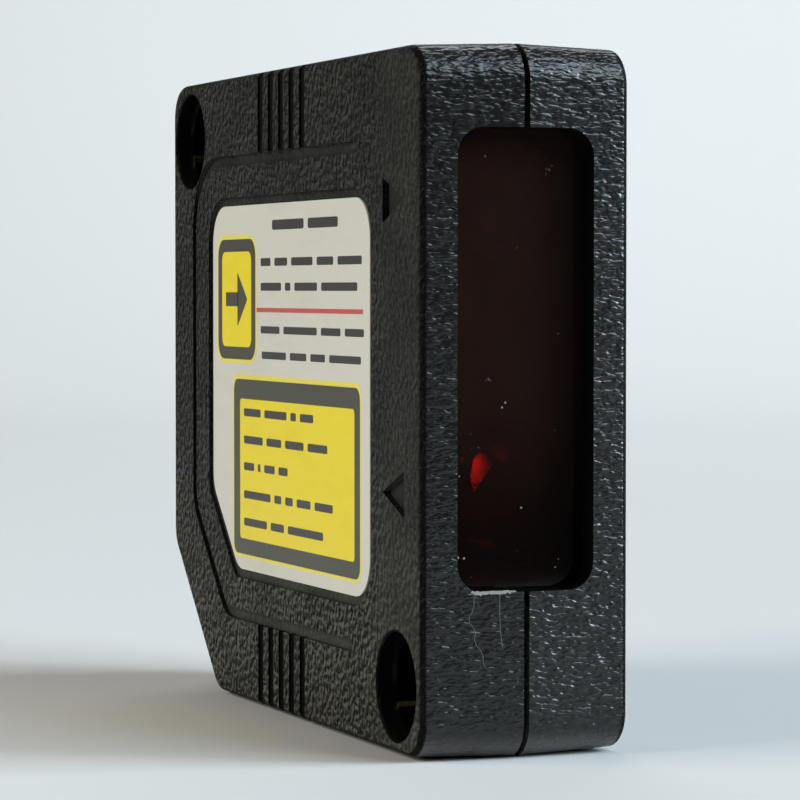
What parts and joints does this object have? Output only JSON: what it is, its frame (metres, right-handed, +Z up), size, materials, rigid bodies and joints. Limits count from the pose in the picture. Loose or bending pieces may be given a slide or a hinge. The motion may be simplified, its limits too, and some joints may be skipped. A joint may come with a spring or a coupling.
{
  "type": "laser sensor",
  "caption": "Slim box-shaped laser sensor with a dark red front window, side label, brass-lined fixing holes on a diagonal and a round cable inlet on its slanted rear corner.",
  "frame": {"origin": "under the middle of the whole part, on the plane of its lowest edge", "axes": "+Z up, the window looks along -Y, the labelled side faces -X"},
  "size_m": [0.0126, 0.0476, 0.0403],
  "materials": {
    "housing": "black moulded plastic with a coarse grain",
    "sleeve_brass": "turned brass, tarnished in the bores",
    "label_film": "printed film",
    "window_red": "polished dark red filter",
    "seal_rubber": "soft black rubber",
    "frame_black": "matte black moulding",
    "lens_glass": "polished",
    "diode_steel": "plated steel",
    "board_green": "green solder mask",
    "chip_black": "moulded package",
    "capacitor_can": "satin can",
    "led_green": "clear green",
    "led_amber": "clear amber",
    "trimmer_blue": "blue moulded case",
    "indicator_clear": "milky clear plastic",
    "inlet_nickel": "nickel-plated",
    "pin_gold": "gold-plated"
  },
  "bodies": {
    "housing": {"left_shell": "housing", "right_shell": "housing", "lower_sleeve": "sleeve_brass", "upper_sleeve": "sleeve_brass", "side_label": "label_film", "front_window": "window_red", "window_gasket": "seal_rubber", "optics_frame": "frame_black", "laser_barrel": "sleeve_brass", "collimator_lens": "lens_glass", "collimator_ring": "frame_black", "receiver_lens": "lens_glass", "receiver_ring": "frame_black", "laser_diode": "diode_steel", "laser_board": "board_green", "detector_board": "board_green", "photodiode": "chip_black", "main_board": "board_green", "board_screws": "diode_steel", "processor_chip": "chip_black", "amplifier_chip": "chip_black", "regulator_chip": "chip_black", "capacitor_1": "capacitor_can", "capacitor_2": "capacitor_can", "power_led": "led_green", "output_led": "led_amber", "gain_trimmer": "trimmer_blue", "indicator_lens": "indicator_clear", "inlet_insert": "inlet_nickel", "inlet_seal": "seal_rubber", "contact_carrier": "frame_black", "contact_pins": "pin_gold"},
    "gain_screw": {"gain_screw": "sleeve_brass", "gain_seal": "seal_rubber"}
  },
  "joints": [
    {"name": "gain_turn", "type": "hinge", "parent": "housing", "child": "gain_screw", "pos_m": [0, 0.02238, 0.028], "axis": [0, 1, 0], "range_deg": [-135, 135]}
  ]
}
